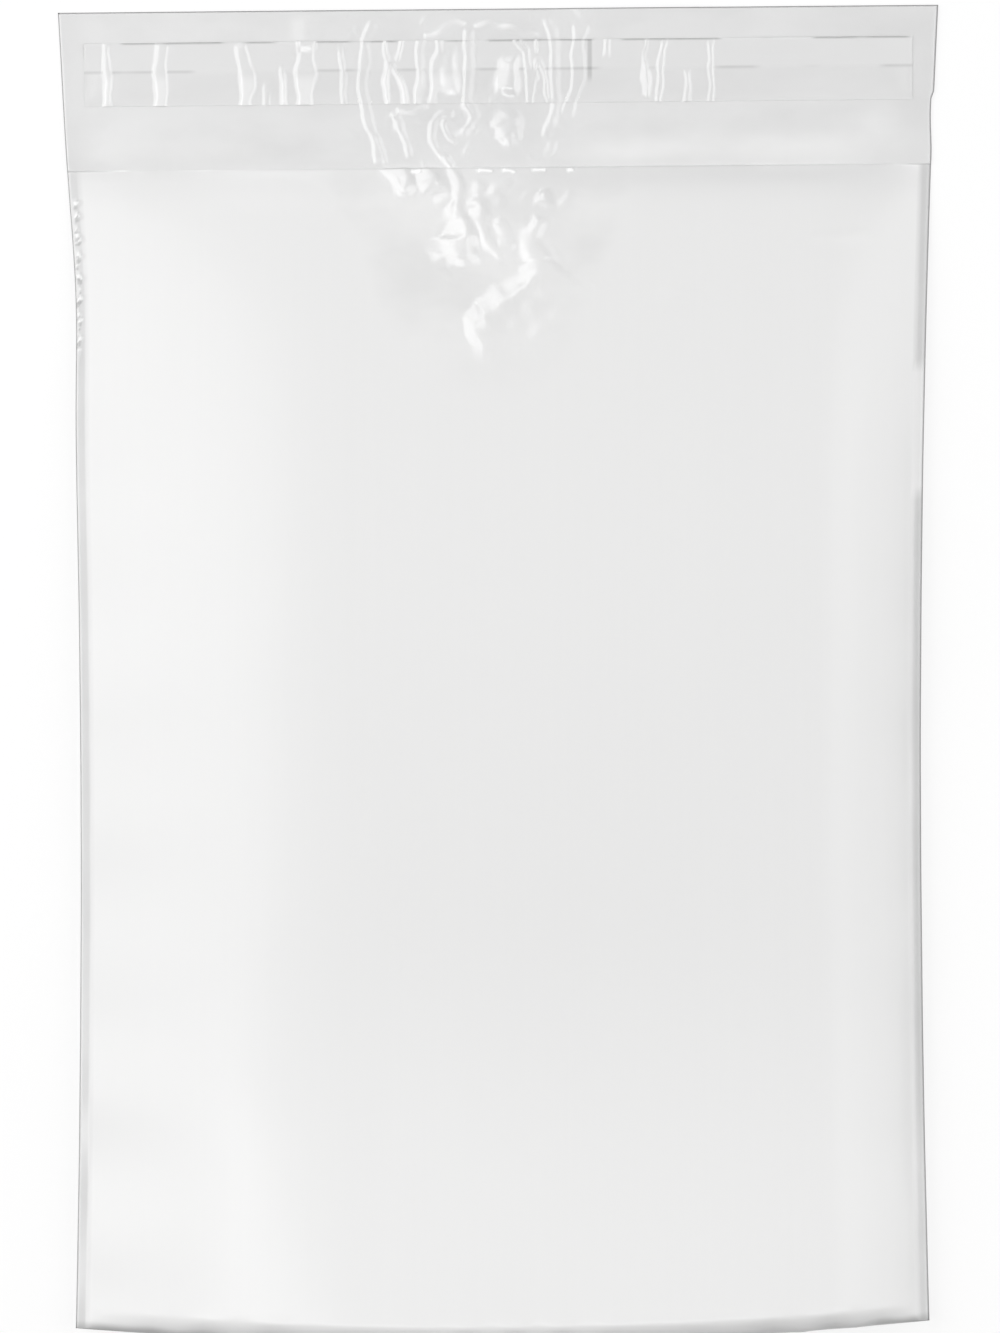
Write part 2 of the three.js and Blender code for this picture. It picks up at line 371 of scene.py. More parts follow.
def crease(x, y, line, left, right=None, tilt=23, crest=(0, 0), ends=0.15, soft=0.5):
    # raised along a line that is drawn from low to high, so that left is the flank towards -X;
    # left and right are the flanks' widths, given once or at each point of the line, tilt is how steep
    # the left one is, crest half the width of the flat top at either end, soft how round the flanks are
    right = left if right is None else right
    curve = handDrawn(line)
    reach = stroke["margin"] * (max(np.max(left), np.max(right)) + max(crest))
    near = (x > curve[:, 0].min() - reach) & (x < curve[:, 0].max() + reach)
    near &= (y > curve[:, 1].min() - reach) & (y < curve[:, 1].max() + reach)
    raised = np.zeros_like(x)
    if not near.any():
        return raised
    at = np.stack([x[near], y[near]], 1)
    steps = np.diff(curve, axis=0)
    lengths = np.hypot(*steps.T)
    run = np.append(0, np.cumsum(lengths))
    offset = at[:, None, :] - curve[None, :-1]
    along = np.clip((offset * steps).sum(2) / lengths**2, 0, 1)
    away = offset - along[:, :, None] * steps
    nearest = np.hypot(away[:, :, 0], away[:, :, 1]).argmin(1)
    pick = np.arange(len(at))
    distance = np.hypot(*away[pick, nearest].T)
    side = steps[nearest, 0] * offset[pick, nearest, 1] - steps[nearest, 1] * offset[pick, nearest, 0]
    share = (run[nearest] + along[pick, nearest] * lengths[nearest]) / run[-1]
    knots = run[::stroke["spanSteps"]] / run[-1]
    leftHere = np.interp(share, knots[:np.size(left)], np.atleast_1d(left))
    rightHere = np.interp(share, knots[:np.size(right)], np.atleast_1d(right))
    flank = np.where(side > 0, leftHere, rightHere)
    turn = share * run[-1] / np.mean(left)
    slow = stroke["slow"][0] * np.sin(stroke["slow"][1] * turn + line[0][0])
    fast = stroke["fast"][0] * np.sin(stroke["fast"][1] * turn + line[0][1])
    flank = flank * (1 + slow + fast)
    swing = stroke["top"][0] * np.sin(share * run[-1] / stroke["top"][1] + line[0][1])
    top = np.interp(share, (0, 1), crest) * (1 + swing)
    height = math.tan(math.radians(tilt)) * (1 - soft) * leftHere
    profile = ramp(1 - (distance - top) / flank, soft)
    raised[near] = height * profile * ease(share, -0.001, ends) * ease(1 - share, -0.001, ends)
    return raised


def dressed(name, bm, material, slot, *replaced):  # a finished bmesh becomes a piece of the bag
    bmesh.ops.scale(bm, vec=(mm, mm, mm), verts=bm.verts)
    mesh = bpy.data.meshes.new(name)
    bm.to_mesh(mesh)
    bm.free()
    mesh.materials.append(material)
    piece = bpy.data.objects.new(name, mesh)
    bpy.context.scene.collection.objects.link(piece)
    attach(piece, "root")
    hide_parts(*replaced)
    print(name + ":", len(mesh.polygons), "faces")
    return piece


def gridPanel(bm, columns, rows):  # a flat grid with its lines at the given places
    made = bmesh.ops.create_grid(bm, x_segments=len(columns) - 1, y_segments=len(rows) - 1, size=1)
    verts = made["verts"]
    flat = np.array([v.co[:] for v in verts])
    column = np.rint((flat[:, 0] + 1) / 2 * (len(columns) - 1)).astype(int)
    row = np.rint((flat[:, 1] + 1) / 2 * (len(rows) - 1)).astype(int)
    rim = (column == 0) | (column == len(columns) - 1) | (row == 0) | (row == len(rows) - 1)
    return verts, columns[column], rows[row], rim


crispAngle = 1  # radians between faces, from which an edge stays crisp


def thicken(bm, thickness):  # a sheet gets its thickness downwards, with crisp rims
    bmesh.ops.solidify(bm, geom=bm.faces[:], thickness=-thickness)
    bmesh.ops.recalc_face_normals(bm, faces=bm.faces)
    for face in bm.faces:
        face.smooth = True
    for edge in bm.edges:
        edge.smooth = edge.calc_face_angle(0) < crispAngle


def settle(verts, x, y, z):  # moves the vertices of a panel to their places, leaning as the cut does
    for vert, place in zip(verts, np.stack([x, y + x * cutLean, z], 1)):
        vert.co = place


def startMesh(*values):  # an empty bmesh with room for values per vertex
    bm = bmesh.new()
    for name in values:
        bm.verts.layers.float.new(name)
    return bm


def paint(bm, verts, name, values):  # a value per vertex, which the finish reads
    layer = bm.verts.layers.float[name]
    for vert, value in zip(verts, values):
        vert[layer] = value


# The bag: two skins of film that meet at the welds, the bottom fold and round the flap
bag = {  # mm
    "flapLength": 46,
    "waistDraw": 6.1,
    "waistBelowMouth": 183,
    "cornerDraw": 4.2,
    "bottomBow": 5.5,
    "weldWidth": 3,
    "seamHeight": 6.5,
    "roundLeft": 75,  # reach of the rounding at the left, at the right and at the bottom fold
    "roundRight": 26,
    "roundFold": 6,
    "roundBack": 10,
    "crown": 1.6,
    "mouthSlope": 150,
    "mouthRise": 1.3,
    "film": 0.16,
    "cutLean": 0.32,  # degrees that the cross cuts run up to the right
    "lipStep": 0.5,
    "lipGap": 0.14,  # of the front film's cut edge over the flap, and how much more at the right
    "lipGape": 0.35,
    "headroom": 0.6,  # left free under the top of the box
    "weldWave": 0.5,
    "weldPucker": 0.22,  # height of the gathers along the welds and the bottom fold
    "foldPucker": 0.4,
    "pleat": 0.55,  # how far the pleats of the bottom fold reach up and down
    "looseReach": 66,  # the loose film below the mouth, and half its width
    "looseHalf": 36,
    "crinkles": 20,  # small folds along the left weld, how far apart, and where they start
    "crinkleStep": 2.25,
    "crinkleStart": (-123.3, -9),
    "crinkleDraw": 1.5,  # how far they pull the weld in
    "nick": 0.8,  # depth of the nick at the flap's right end
    "joinWithin": 0.12,  # where both skins meet, vertices this close are one
    "fineFrom": -44,  # the finely gridded stretch across, and its reach below the mouth
    "fineTo": 30,
    "fineBelow": 52,
}
flapEdge = bagHigh.y
bottom = bagLow.y
mouth = flapEdge - bag["flapLength"]
waist = mouth - bag["waistBelowMouth"]
flatHalf = bagHigh.x
cutLean = math.tan(math.radians(bag["cutLean"]))

# Creases of the film, as lines of (across, above the mouth)
flapCreases = [
    {"line": [(-33.3, 1), (-35.6, 8.2), (-37.7, 15.4), (-39.4, 22.6), (-38.9, 31), (-38.5, 37),
              (-36.2, 43.4)],
     "left": 1.25, "right": [1.25, 1.25, 1.4, 2, 2.6, 2.8, 2.8], "crest": (0.9, 0.1), "ends": 0.05},
    {"line": [(-32, 0.3), (-33.8, 6), (-35, 10)], "left": 0.9, "tilt": 18},
    {"line": [(-25.5, 2.4), (-26.7, 8.2), (-28.4, 12.5), (-30.4, 16.9)], "left": 1.25, "crest": (0.1, 0.4)},
    {"line": [(-12.6, 0.1), (-14.6, 2.4), (-17.8, 5.9), (-19.2, 9.4), (-18.6, 13.4), (-16, 15.7),
              (-12.3, 16)],
     "left": 1.5, "right": 1.2, "crest": (0.1, 0.1), "ends": 0.06},
    {"line": [(-11.7, 7.6), (-14, 8.8), (-15.4, 11.7), (-15.2, 14.5)], "left": 1.2},
    {"line": [(-11.1, 9.4), (-7.4, 14.5), (-7.7, 16.9), (-9.4, 19.7), (-8.9, 28), (-8.9, 38), (-9, 41)],
     "left": 1.35, "right": 2.8, "crest": (0.1, 0.2), "ends": 0.05},
    {"line": [(-0.1, 6.8), (2.7, 9.6), (4.8, 14), (7.1, 16.3)],
     "left": [4, 7, 7, 4], "right": 4, "tilt": 9.5, "ends": 0.25, "soft": 0.4},
    {"line": [(5.9, 7.8), (5.3, 12.5)], "left": 1.3, "tilt": 20},
    {"line": [(-5, 8.4), (-5.6, 12.4)], "left": 2.8, "tilt": 8, "ends": 0.45},
    {"line": [(12.8, 8.2), (14.3, 12.5), (16.3, 17), (15.9, 24), (15.8, 34), (15.2, 39.4), (12.8, 43.4)],
     "left": 1.35, "right": 2.8, "crest": (0.1, 0.1), "ends": 0.06},
    {"line": [(19.2, 14), (20.6, 18.3), (22.4, 22.6), (23.1, 28), (23, 36), (24, 42)],
     "left": 1.25, "crest": (0.9, 1.3), "ends": 0.08},
    {"line": [(-55.5, 33), (-55, 40), (-54, 46)], "left": 1.6, "crest": (1.5, 2.4), "ends": 0.3},
    {"line": [(-121, 9), (-90, 9.5), (-48, 8)], "left": 9, "right": 7, "tilt": 5, "ends": 0.3},
    {"line": [(26, 11), (60, 11.5), (119, 12)],
     "left": 8, "right": 11, "tilt": 7, "ends": 0.2, "soft": 0.25},
    {"line": [(14, 47), (40, 48.5), (70, 47)], "left": 6, "right": 9, "tilt": 14, "ends": 0.3},
]
glintCreases = [  # the hardest folds of the flap, with a painted highlight along them
    {"line": [(-29.6, 17.1), (-26.4, 16.6), (-23.2, 16.9), (-20.3, 18.6)]},
    {"line": [(-21.8, 38.3), (-17.5, 39.1), (-14.6, 41.4), (-11.7, 42.6), (-8.8, 41.6)]},
    {"line": [(-7.5, 40.6), (-3, 42.3), (0, 41.1), (4.2, 41.1), (7.1, 39.4), (10, 39), (11.4, 37.3)]},
]
for folded in glintCreases:
    folded.update({"left": 1.2, "right": 1.8, "tilt": 15.5, "ends": 0.08, "soft": 0.25})
bodyCreases = [  # facets that catch the light, each steep towards one side
    {"line": [(-26.4, -8.5), (-26.6, -4.8), (-27.6, 0), (-28.4, 5)],
     "left": [4, 7, 7, 6], "right": 4.5, "tilt": 17, "ends": 0.2, "soft": 0.35},
    {"line": [(-17.4, -8), (-18, -5), (-19, -3), (-21, 4)],
     "left": [2.4, 3.4, 6.6, 7], "right": 4.5, "tilt": 17, "ends": 0.15, "soft": 0.35},
    {"line": [(-10.4, -30), (-9.6, -20.5), (-10.7, -14.2), (-11.4, -8.5), (-12.9, 3)],
     "left": [8, 14, 6, 3.4, 3], "right": [5, 6, 3, 2.6, 2.4], "tilt": 12, "ends": 0.16, "soft": 0.4},
    {"line": [(-20, -22.3), (-16, -23.2), (-11, -23)], "left": 1.0, "right": 1.8, "tilt": 13, "ends": 0.3},
    {"line": [(1.5, -27), (-1.8, -22.7), (-4.8, -18.4), (-5.8, -15), (-5.2, -11.8), (-8, -7.5)],
     "left": [2, 3, 3.6, 4.2, 4, 1.4], "right": 3.8, "tilt": 14, "ends": 0.1, "soft": 0.4},
    {"line": [(0, -27), (1.4, -22.1), (1.4, -18.4), (-1.9, -14.5)], "left": 2.4, "right": 3.4, "tilt": 15},
    {"line": [(13.3, -12.5), (13.3, -6)], "left": 2.6, "right": 3.2, "tilt": 15, "ends": 0.3, "soft": 0.4},
    {"line": [(12.8, -28.5), (10.5, -24.7), (9.3, -20.7), (10.7, -17.2), (11.3, -13.8)],
     "left": [4, 4.8, 3.8, 3.4, 2.8], "right": 4.2, "tilt": 14, "ends": 0.12, "soft": 0.4},
    {"line": [(-10, -47.4), (-3.8, -44.4), (1.8, -40.6), (6.6, -35.4), (10.4, -31), (13.6, -25.6)],
     "left": [4, 9, 8.6, 7, 5.4, 3.2], "right": 17, "tilt": 14, "ends": 0.09, "soft": 0.3},
    {"line": [(48, -35), (51, -36.5), (54.5, -35.5)], "left": 3.0, "tilt": 10, "ends": 0.3},
    {"line": [(83, -21.5), (96, -20.5), (109, -21)], "left": 2.6, "tilt": 7, "ends": 0.3},
    {"line": [(104.5, -81), (104, -75), (104.6, -70)], "left": 1.6, "tilt": 12, "ends": 0.3},
    {"line": [(-67, -156.5), (-64, -156), (-61, -156.8)], "left": 1.4, "tilt": 12, "ends": 0.3},
    {"line": [(-40, -190), (-36, -191.5), (-30, -192)], "left": 1.5, "tilt": 12, "ends": 0.3},
    {"line": [(94.5, -178), (93.8, -165), (94.6, -150)], "left": 1.6, "tilt": 10, "ends": 0.3},
    {"line": [(26, -104), (29, -104.6), (32, -104)], "left": 1.4, "tilt": 12, "ends": 0.3},
]
lipGathers = [  # short gathers in the cut edge of the front film: start, length and height of the end
    (-25.6, 3, -0.4), (-6.4, 4.6, -1), (1, 4.2, -1.3), (9.8, 4, -0.7), (19.6, 1.8, -0.5),
]
lipCreases = []
for start, length, low in lipGathers:
    gathered = [(start, -0.5), (start + length / 2, -0.65), (start + length, low)]
    lipCreases.append({"line": gathered, "left": 0.9, "tilt": 22, "soft": 0.25})


# small crumples between the large creases
def scatterCreases(seed, count, middle, spread, length, flank, tilt):
    chance = np.random.default_rng(seed)
    made = []
    for _ in range(count):
        place = np.array(middle) + chance.normal(0, 1, 2) * spread
        turn = chance.uniform(0, math.pi)
        reach = np.array([math.cos(turn), math.sin(turn)]) * chance.uniform(0.5, 1) * length
        bend = np.array([-reach[1], reach[0]]) * chance.uniform(-0.3, 0.3)
        size = chance.uniform(0.6, 1.2)
        made.append({"line": [place - reach, place + bend, place + reach], "left": flank * size,
                     "right": flank * size * chance.uniform(0.5, 1), "tilt": tilt * size, "ends": 0.35})
    return made


bodyCrumples = scatterCreases(3, 14, (-2, -14), (14, 8), 4.5, 2.4, 7)
flapCreases += scatterCreases(5, 22, (-8, 9), (17, 6), 4.0, 2.2, 9)
flapCreases += scatterCreases(8, 14, (-8, 41), (20, 2.5), 3.0, 1.6, 10)


def astray(x, y, reach):  # folds in film never run quite true
    sideways = np.sin(y / 2.2 + 1.4 * np.sin(x / 3.3))
    sideways += 0.6 * np.sin(x / 1.1 + y / 1.7 + 2 * np.sin(y / 5))
    lengthways = np.sin(x / 2.5 + 1.3 * np.sin(y / 3.9))
    lengthways += 0.6 * np.sin(y / 1.2 - x / 1.6 + 2 * np.sin(x / 6))
    return x + reach * sideways, y + reach * lengthways


# all the creases of a list at the given places, added up unless gather says otherwise
def addCreases(x, y, creases, gather=np.add, stray=0.12):
    total = np.zeros_like(x)
    across, along = astray(x, y - mouth, stray)
    for one in creases:
        total = gather(total, crease(across, along, **one))
    return total


def halfWidth(y):  # the filling draws the sides in, most at the waist
    above = np.clip((y - waist) / (flapEdge - waist), 0, None)
    below = np.clip((waist - y) / (waist - bottom), 0, None)
    return flatHalf - bag["waistDraw"] * (1 - above**2) + (bag["waistDraw"] - bag["cornerDraw"]) * below**2


def gathers(x):  # small pleats along the bottom fold
    return np.sin(x / 2.7 + 1.9 * np.sin(x / 19)) * (0.55 + 0.45 * np.sin(x / 13 + 1))


def bowed(x, y):  # the bottom fold bows out between its corners, and the film above it is gathered
    fade = 1 - ease(y, bottom, (bottom + mouth) / 2)
    pleats = gathers(x) * ease(y, bottom, bottom + 0.9) * (1 - ease(y, bottom + 2, bottom + 10))
    return y + bag["bottomBow"] * fade * (x / halfWidth(y)) ** 2 + bag["pleat"] * pleats


def swell(x, y):  # the slow unevenness of soft goods under film
    waves = 0.35 * np.sin(x / 33 + 1.1) * np.cos(y / 47 + 0.4)
    return waves + 0.25 * np.sin(x / 57 - y / 39 + 2) + 0.12 * np.sin(x / 17 + y / 23)


def flapSwell(x, y):  # the slow unevenness of the loose flap
    return 0.65 + 0.3 * np.sin(x / 27 + 0.6) * np.cos(y / 19) + 0.25 * np.sin(x / 41 + y / 31 + 1.3)


def flapLift(x, y):  # the middle of the flap's film over the surface
    return flapSwell(x, y) + addCreases(x, y, flapCreases + glintCreases)


def fillShare(y):  # how much of the full thickness the filling has, from none at the mouth
    return pillow(mouth - y, bag["mouthSlope"])


def seamLine(x, y):  # height of the welds, a little wavy
    wave = np.sin(y / 9.0 + np.sign(x)) * np.sin(y / 23 + 2 * np.sign(x))
    return (bag["seamHeight"] + bag["weldWave"] * wave) * fillShare(y)


def puckers(x, y, edge):  # short gathers where the film is drawn in along the welds and the bottom fold
    side = np.sign(x)
    weldWaves = np.sin(y / 3.1 + 1.7 * np.sin(y / 17) + side) * (0.6 + 0.4 * np.sin(y / 11 + 2 * side))
    weldWaves = bag["weldPucker"] * weldWaves * ease(edge, 0, 3) * (1 - ease(edge, 4, 15))
    foldWaves = bag["foldPucker"] * gathers(x) * ease(y - bottom, 0, 3) * (1 - ease(y - bottom, 3.5, 8))
    return weldWaves + foldWaves


def crinkles(across, below, flank):  # small folds along the left weld, of uneven size
    made = []
    firstAcross, firstUp = bag["crinkleStart"]
    for step in range(bag["crinkles"]):
        place = firstUp - bag["crinkleStep"] * step - 0.8 * math.sin(2.3 * step)
        size = 0.7 + 0.5 * abs(math.sin(1.9 * step + 1))
        start = firstAcross + 0.04 * step + 0.35 * math.sin(1.3 * step) + across
        line = [(start, place - 0.6 * size - below), (start + 1.5 * size, place + 0.6 * size - below)]
        made.append({"line": line, "left": flank * size, "tilt": 44, "ends": 0.3})
    return made


weldCreases = crinkles(0, 0, 1.0)
weldShadows = crinkles(-0.2, 1.2, 0.75)  # where shade is painted, in the hollows just below them


def frontSkin(x, y, rim):  # height of the front film, and of the flap past the mouth
    edge = halfWidth(y) - bag["weldWidth"] - np.abs(x)
    share = fillShare(y)
    seam = seamLine(x, y) + bag["film"]
    sides = np.where(x < 0, pillow(edge, bag["roundLeft"]), pillow(edge, bag["roundRight"]))
    rise = sides * roundOff(y - bottom, bag["roundFold"])
    along = (y - bottom) / (mouth - bottom)
    crown = bag["crown"] * share * ((x / flatHalf) ** 2 + (2 * along - 1) ** 2) / 2
    thickness = bagHigh.z - bagLow.z - bag["headroom"]
    lip = flapSwell(x, mouth) + bag["lipGap"] + bag["lipGape"] * ease(x, -20, 60)
    lip = lip + bag["mouthRise"] * ease(mouth - y, -2, 16)
    full = lip + (thickness - lip) * share - crown + swell(x, y) * share
    body = seam + bag["film"] + (full - seam) * rise
    folds = addCreases(x, y, bodyCreases, np.maximum, 0.5) + addCreases(x, y, bodyCrumples + lipCreases)
    body += (folds + puckers(x, y, edge) * share) * rise
    weld = seam + bag["film"] + addCreases(x, y, weldCreases)
    body = np.maximum(body, weld)
    flap = flapLift(x, y) + bag["film"] / 2
    height = np.where(y <= mouth, body, flap)
    return np.where(rim, rimHeight(x, y), height)


def rimHeight(x, y):  # where both skins meet
    share = np.clip((y - mouth) / bag["lipStep"], 0, 1)
    return (seamLine(x, y) + bag["film"]) * (1 - share) + flapLift(x, y) * share


def backSkin(x, y, rim):  # height of the back film, which lies on the surface
    edge = halfWidth(y) - bag["weldWidth"] - np.abs(x)
    rise = roundOff(edge, bag["roundBack"]) * roundOff(y - bottom, bag["roundBack"])
    body = seamLine(x, y) * (1 - rise)
    share = ease(y, mouth - 12, mouth)
    under = flapLift(x, y) - bag["film"] / 2
    height = np.where(y <= mouth, body * (1 - share) + np.minimum(body, under) * share, under)
    return np.where(rim, rimHeight(x, y), height)


# Where the film is greyer, and where shade and highlights are painted on it: shares from 0 to 1, and
# stretches in mm below the mouth
wear = {
    "paleStretch": (96, 58),  # a stretch where the right weld is left paler, between painted shade above and below it
    "paleStretchWeld": 0.25,
    "flapEnds": 0.5,
    "mouthShade": 0.3,  # painted shade in the hollow just below the mouth
    "crinkleShade": 0.95,
    "rightShadeAbove": 0.45,  # painted shade along the right weld above the pale stretch, and below it
    "rightShadeBelow": 0.75,
    # painted highlights along the lip's gathers and on the weld's crinkles
    "lipHighlight": 0.9,
    "crinkleHighlight": 0.6,
    "bendHighlight": 0.2,  # painted highlight where the flap bends up over the lip
}


def weldMargin(x, y):  # 1 in the flat margin of a side weld
    return 1 - ease(halfWidth(y) - np.abs(x), bag["weldWidth"] - 0.6, bag["weldWidth"] + 0.6)


def weldShare(x, y):  # the welds, some of their grey at the flap's ends, and a painted shade just below the mouth
    low, high = wear["paleStretch"]
    paleStretch = (x > 0) & (y > mouth - low) & (y < mouth - high)
    flapEnds = wear["flapEnds"] * np.where(x > 0, ease(x, 92, 126), ease(-x, 116, 125))
    # painted shade just below the mouth, at the right
    shadeBelowMouth = wear["mouthShade"] * np.exp(-(((y - mouth + 3) / 2.2) ** 2))
    shadeBelowMouth *= ease(x, 16, 40) * (1 - ease(x, 88, 112))
    margin = np.where(paleStretch, wear["paleStretchWeld"], 1) * weldMargin(x, y)
    return np.where(y <= mouth, margin + shadeBelowMouth, flapEnds)


# darker cut rims, partly painted shade at the edges, with painted shade in the hollows of the crinkled weld
# and along stretches of the right weld
def darkShare(x, y, rim):
    low, high = wear["paleStretch"]
    # painted shade in the hollows below the crinkles
    hollowShade = wear["crinkleShade"] * ease(addCreases(x, y, weldShadows), 0.06, 0.26)
    # painted shade along the right weld above the pale stretch
    shadeAbove = wear["rightShadeAbove"] * weldMargin(x, y) * (y <= mouth)
    shadeAbove *= ease(y, mouth - high - 1, mouth - high + 1)
    # painted shade along the right edge below the pale stretch, fading towards the bottom
    shadeBelow = wear["rightShadeBelow"] * (1 - ease(y, mouth - low - 2, mouth - low + 2))
    shadeBelow *= (1 - ease(halfWidth(y) - x, 0.6, 3.4)) * ease(y, bottom + 10, bottom + 90)
    return np.maximum(rim * (y > bottom), hollowShade + (shadeAbove + shadeBelow) * (x > 0))


def tautShare(x, y):  # 1 where the filling stretches the film, 0 on the loose film round the mouth
    reach = bag["looseReach"] * np.exp(-(((x + 4) / bag["looseHalf"]) ** 4))
    return 1 - ease(y, mouth - 4 - reach, mouth - 0.55 * reach)


# 1 where the filling lies behind the film, less just below the mouth where the filling thins and a painted
# shade grows towards the right, and a painted highlight where the flap bends up over the lip
def filledShare(x, y):
    # painted shade just below the mouth, strongest at the right
    nearMouth = ease(y, mouth - 12, mouth - 1)
    body = 1 - nearMouth * (0.5 + 0.5 * ease(x, -40, 10))
    ends = 0.5 * ease(-x, 60, 80) + ease(x, 14, 45) * (1 - 0.7 * ease(x, 90, 122))
    # a painted highlight in a band above the mouth
    bend = np.exp(-(((y - mouth - 5.5) / 4.2) ** 2)) * ends
    return np.where(y <= mouth, body, bend)


def highlightShare(x, y):  # painted highlights: most along the gathers of the lip, some on the weld's crinkles, above the lip and along the hardest folds of the flap
    white = wear["lipHighlight"] * ease(addCreases(x, y, lipCreases), 0.06, 0.26) * (y <= mouth)
    white += wear["crinkleHighlight"] * ease(addCreases(x, y, weldCreases), 0.2, 0.45)
    bend = np.exp(-(((y - mouth - 2 - 0.06 * x) / 3) ** 2)) * (y > mouth)
    white += wear["bendHighlight"] * bend * ease(x, 14, 34) * (1 - 0.8 * ease(x, 40, 72))
    # how strongly the painted highlight shows along the folds
    glintStrength = 0.3 + 0.25 * np.sin(x / 1.7 + np.sin(x / 3))
    return np.maximum(white, glintStrength * ease(addCreases(x, y, glintCreases), 0.08, 0.24))


def drawnIn(x, y):  # the crinkled weld pulls the left side in, and a nick narrows the flap at the right
    above = y - mouth
    crinkled = np.exp(-(((above + 36) / 30) ** 2)) * np.clip(-x / flatHalf, 0, 1) ** 4
    nick = (1 - ease(above, 18.6, 21.6)) * ease(above, 2, 16) * np.clip(x / flatHalf, 0, 1) ** 8
    return x + bag["crinkleDraw"] * crinkled - bag["nick"] * nick


def buildBag():
    weldIn = flatHalf - bag["weldWidth"]
    inner = weldIn - 20
    left = [(-flatHalf, -weldIn, 6), (-weldIn, -inner, 14), (-inner, bag["fineFrom"], 24)]
    right = [(bag["fineTo"], inner, 28), (inner, weldIn, 20), (weldIn, flatHalf, 4)]
    columns = shareOut(*left, (bag["fineFrom"], bag["fineTo"], 180), *right)
    foldTop = bottom + bag["roundFold"] + 2
    fineEnd = mouth - bag["fineBelow"]
    lipTop = mouth + bag["lipStep"]
    fold = [(bottom, bottom + 0.8, 4), (bottom + 0.8, bottom + 2.6, 6), (bottom + 2.6, foldTop, 8)]
    low = [(foldTop, fineEnd, 68), (fineEnd, mouth - 3, 84), (mouth - 3, mouth, 10)]
    rows = shareOut(*fold, *low, (mouth, lipTop, 2), (lipTop, flapEdge, 88))  # even steps, for the back skin
    bm = startMesh("filled", "bottomSheen", "taut", "weld", "paintedHighlight", "edgeAndShade", "fold")
    for skin, every in ((frontSkin, 1), (backSkin, 2)):
        verts, across, y, rim = gridPanel(bm, columns[::every], rows[::every])
        x = across * halfWidth(y) / flatHalf
        settle(verts, drawnIn(x, y), bowed(x, y), skin(x, y, rim))
        shares = {
            "filled": filledShare(x, y),
            # a painted sheen, paler towards the bottom of the body
            "bottomSheen": 1 - ease(y, bottom + 30, bottom + 130),
            "taut": tautShare(x, y),
            "weld": weldShare(x, y),
            "paintedHighlight": highlightShare(x, y) * (every == 1),
            "edgeAndShade": darkShare(x, y, rim),
            # painted shade along the bottom fold, darkest towards the corners
            "fold": (1 - ease(y, bottom, bottom + 3)) * (0.6 + 0.4 * (x / flatHalf) ** 2),
        }
        for name, values in shares.items():
            paint(bm, verts, name, values)
        if every == 2:
            bmesh.ops.reverse_faces(bm, faces=list({face for vert in verts for face in vert.link_faces}))
            border = [edge for vert in verts for edge in vert.link_edges if edge.is_boundary]
            bmesh.ops.subdivide_edges(bm, edges=list(set(border)), cuts=1)
    meeting = [vert for vert in bm.verts if vert.is_boundary]
    bmesh.ops.remove_doubles(bm, verts=meeting, dist=bag["joinWithin"])
    print("bag: open edges", sum(edge.is_boundary for edge in bm.edges))
    for face in bm.faces:
        face.smooth = True
    return dressed("mailerFilm", bm, milkyFilm(), "film", "mailer_bag")


mailer = buildBag()


# The adhesive: a thin band that follows the flap's film
adhesive = {"thickness": 0.12, "gap": 0.03, "columns": 236, "rows": 8}  # mm


def buildAdhesive():
    bm = startMesh()
    columns = np.linspace(adhesiveLow.x, adhesiveHigh.x, adhesive["columns"] + 1)
    rows = np.linspace(adhesiveLow.y, adhesiveHigh.y, adhesive["rows"] + 1)
    verts, x, y, _ = gridPanel(bm, columns, rows)
    settle(verts, x, y, flapLift(x, y) + bag["film"] / 2 + adhesive["gap"])
    thicken(bm, adhesive["thickness"])
    return dressed("adhesiveBand", bm, tackyAdhesive(), "adhesive", "adhesive_strip")


buildAdhesive()


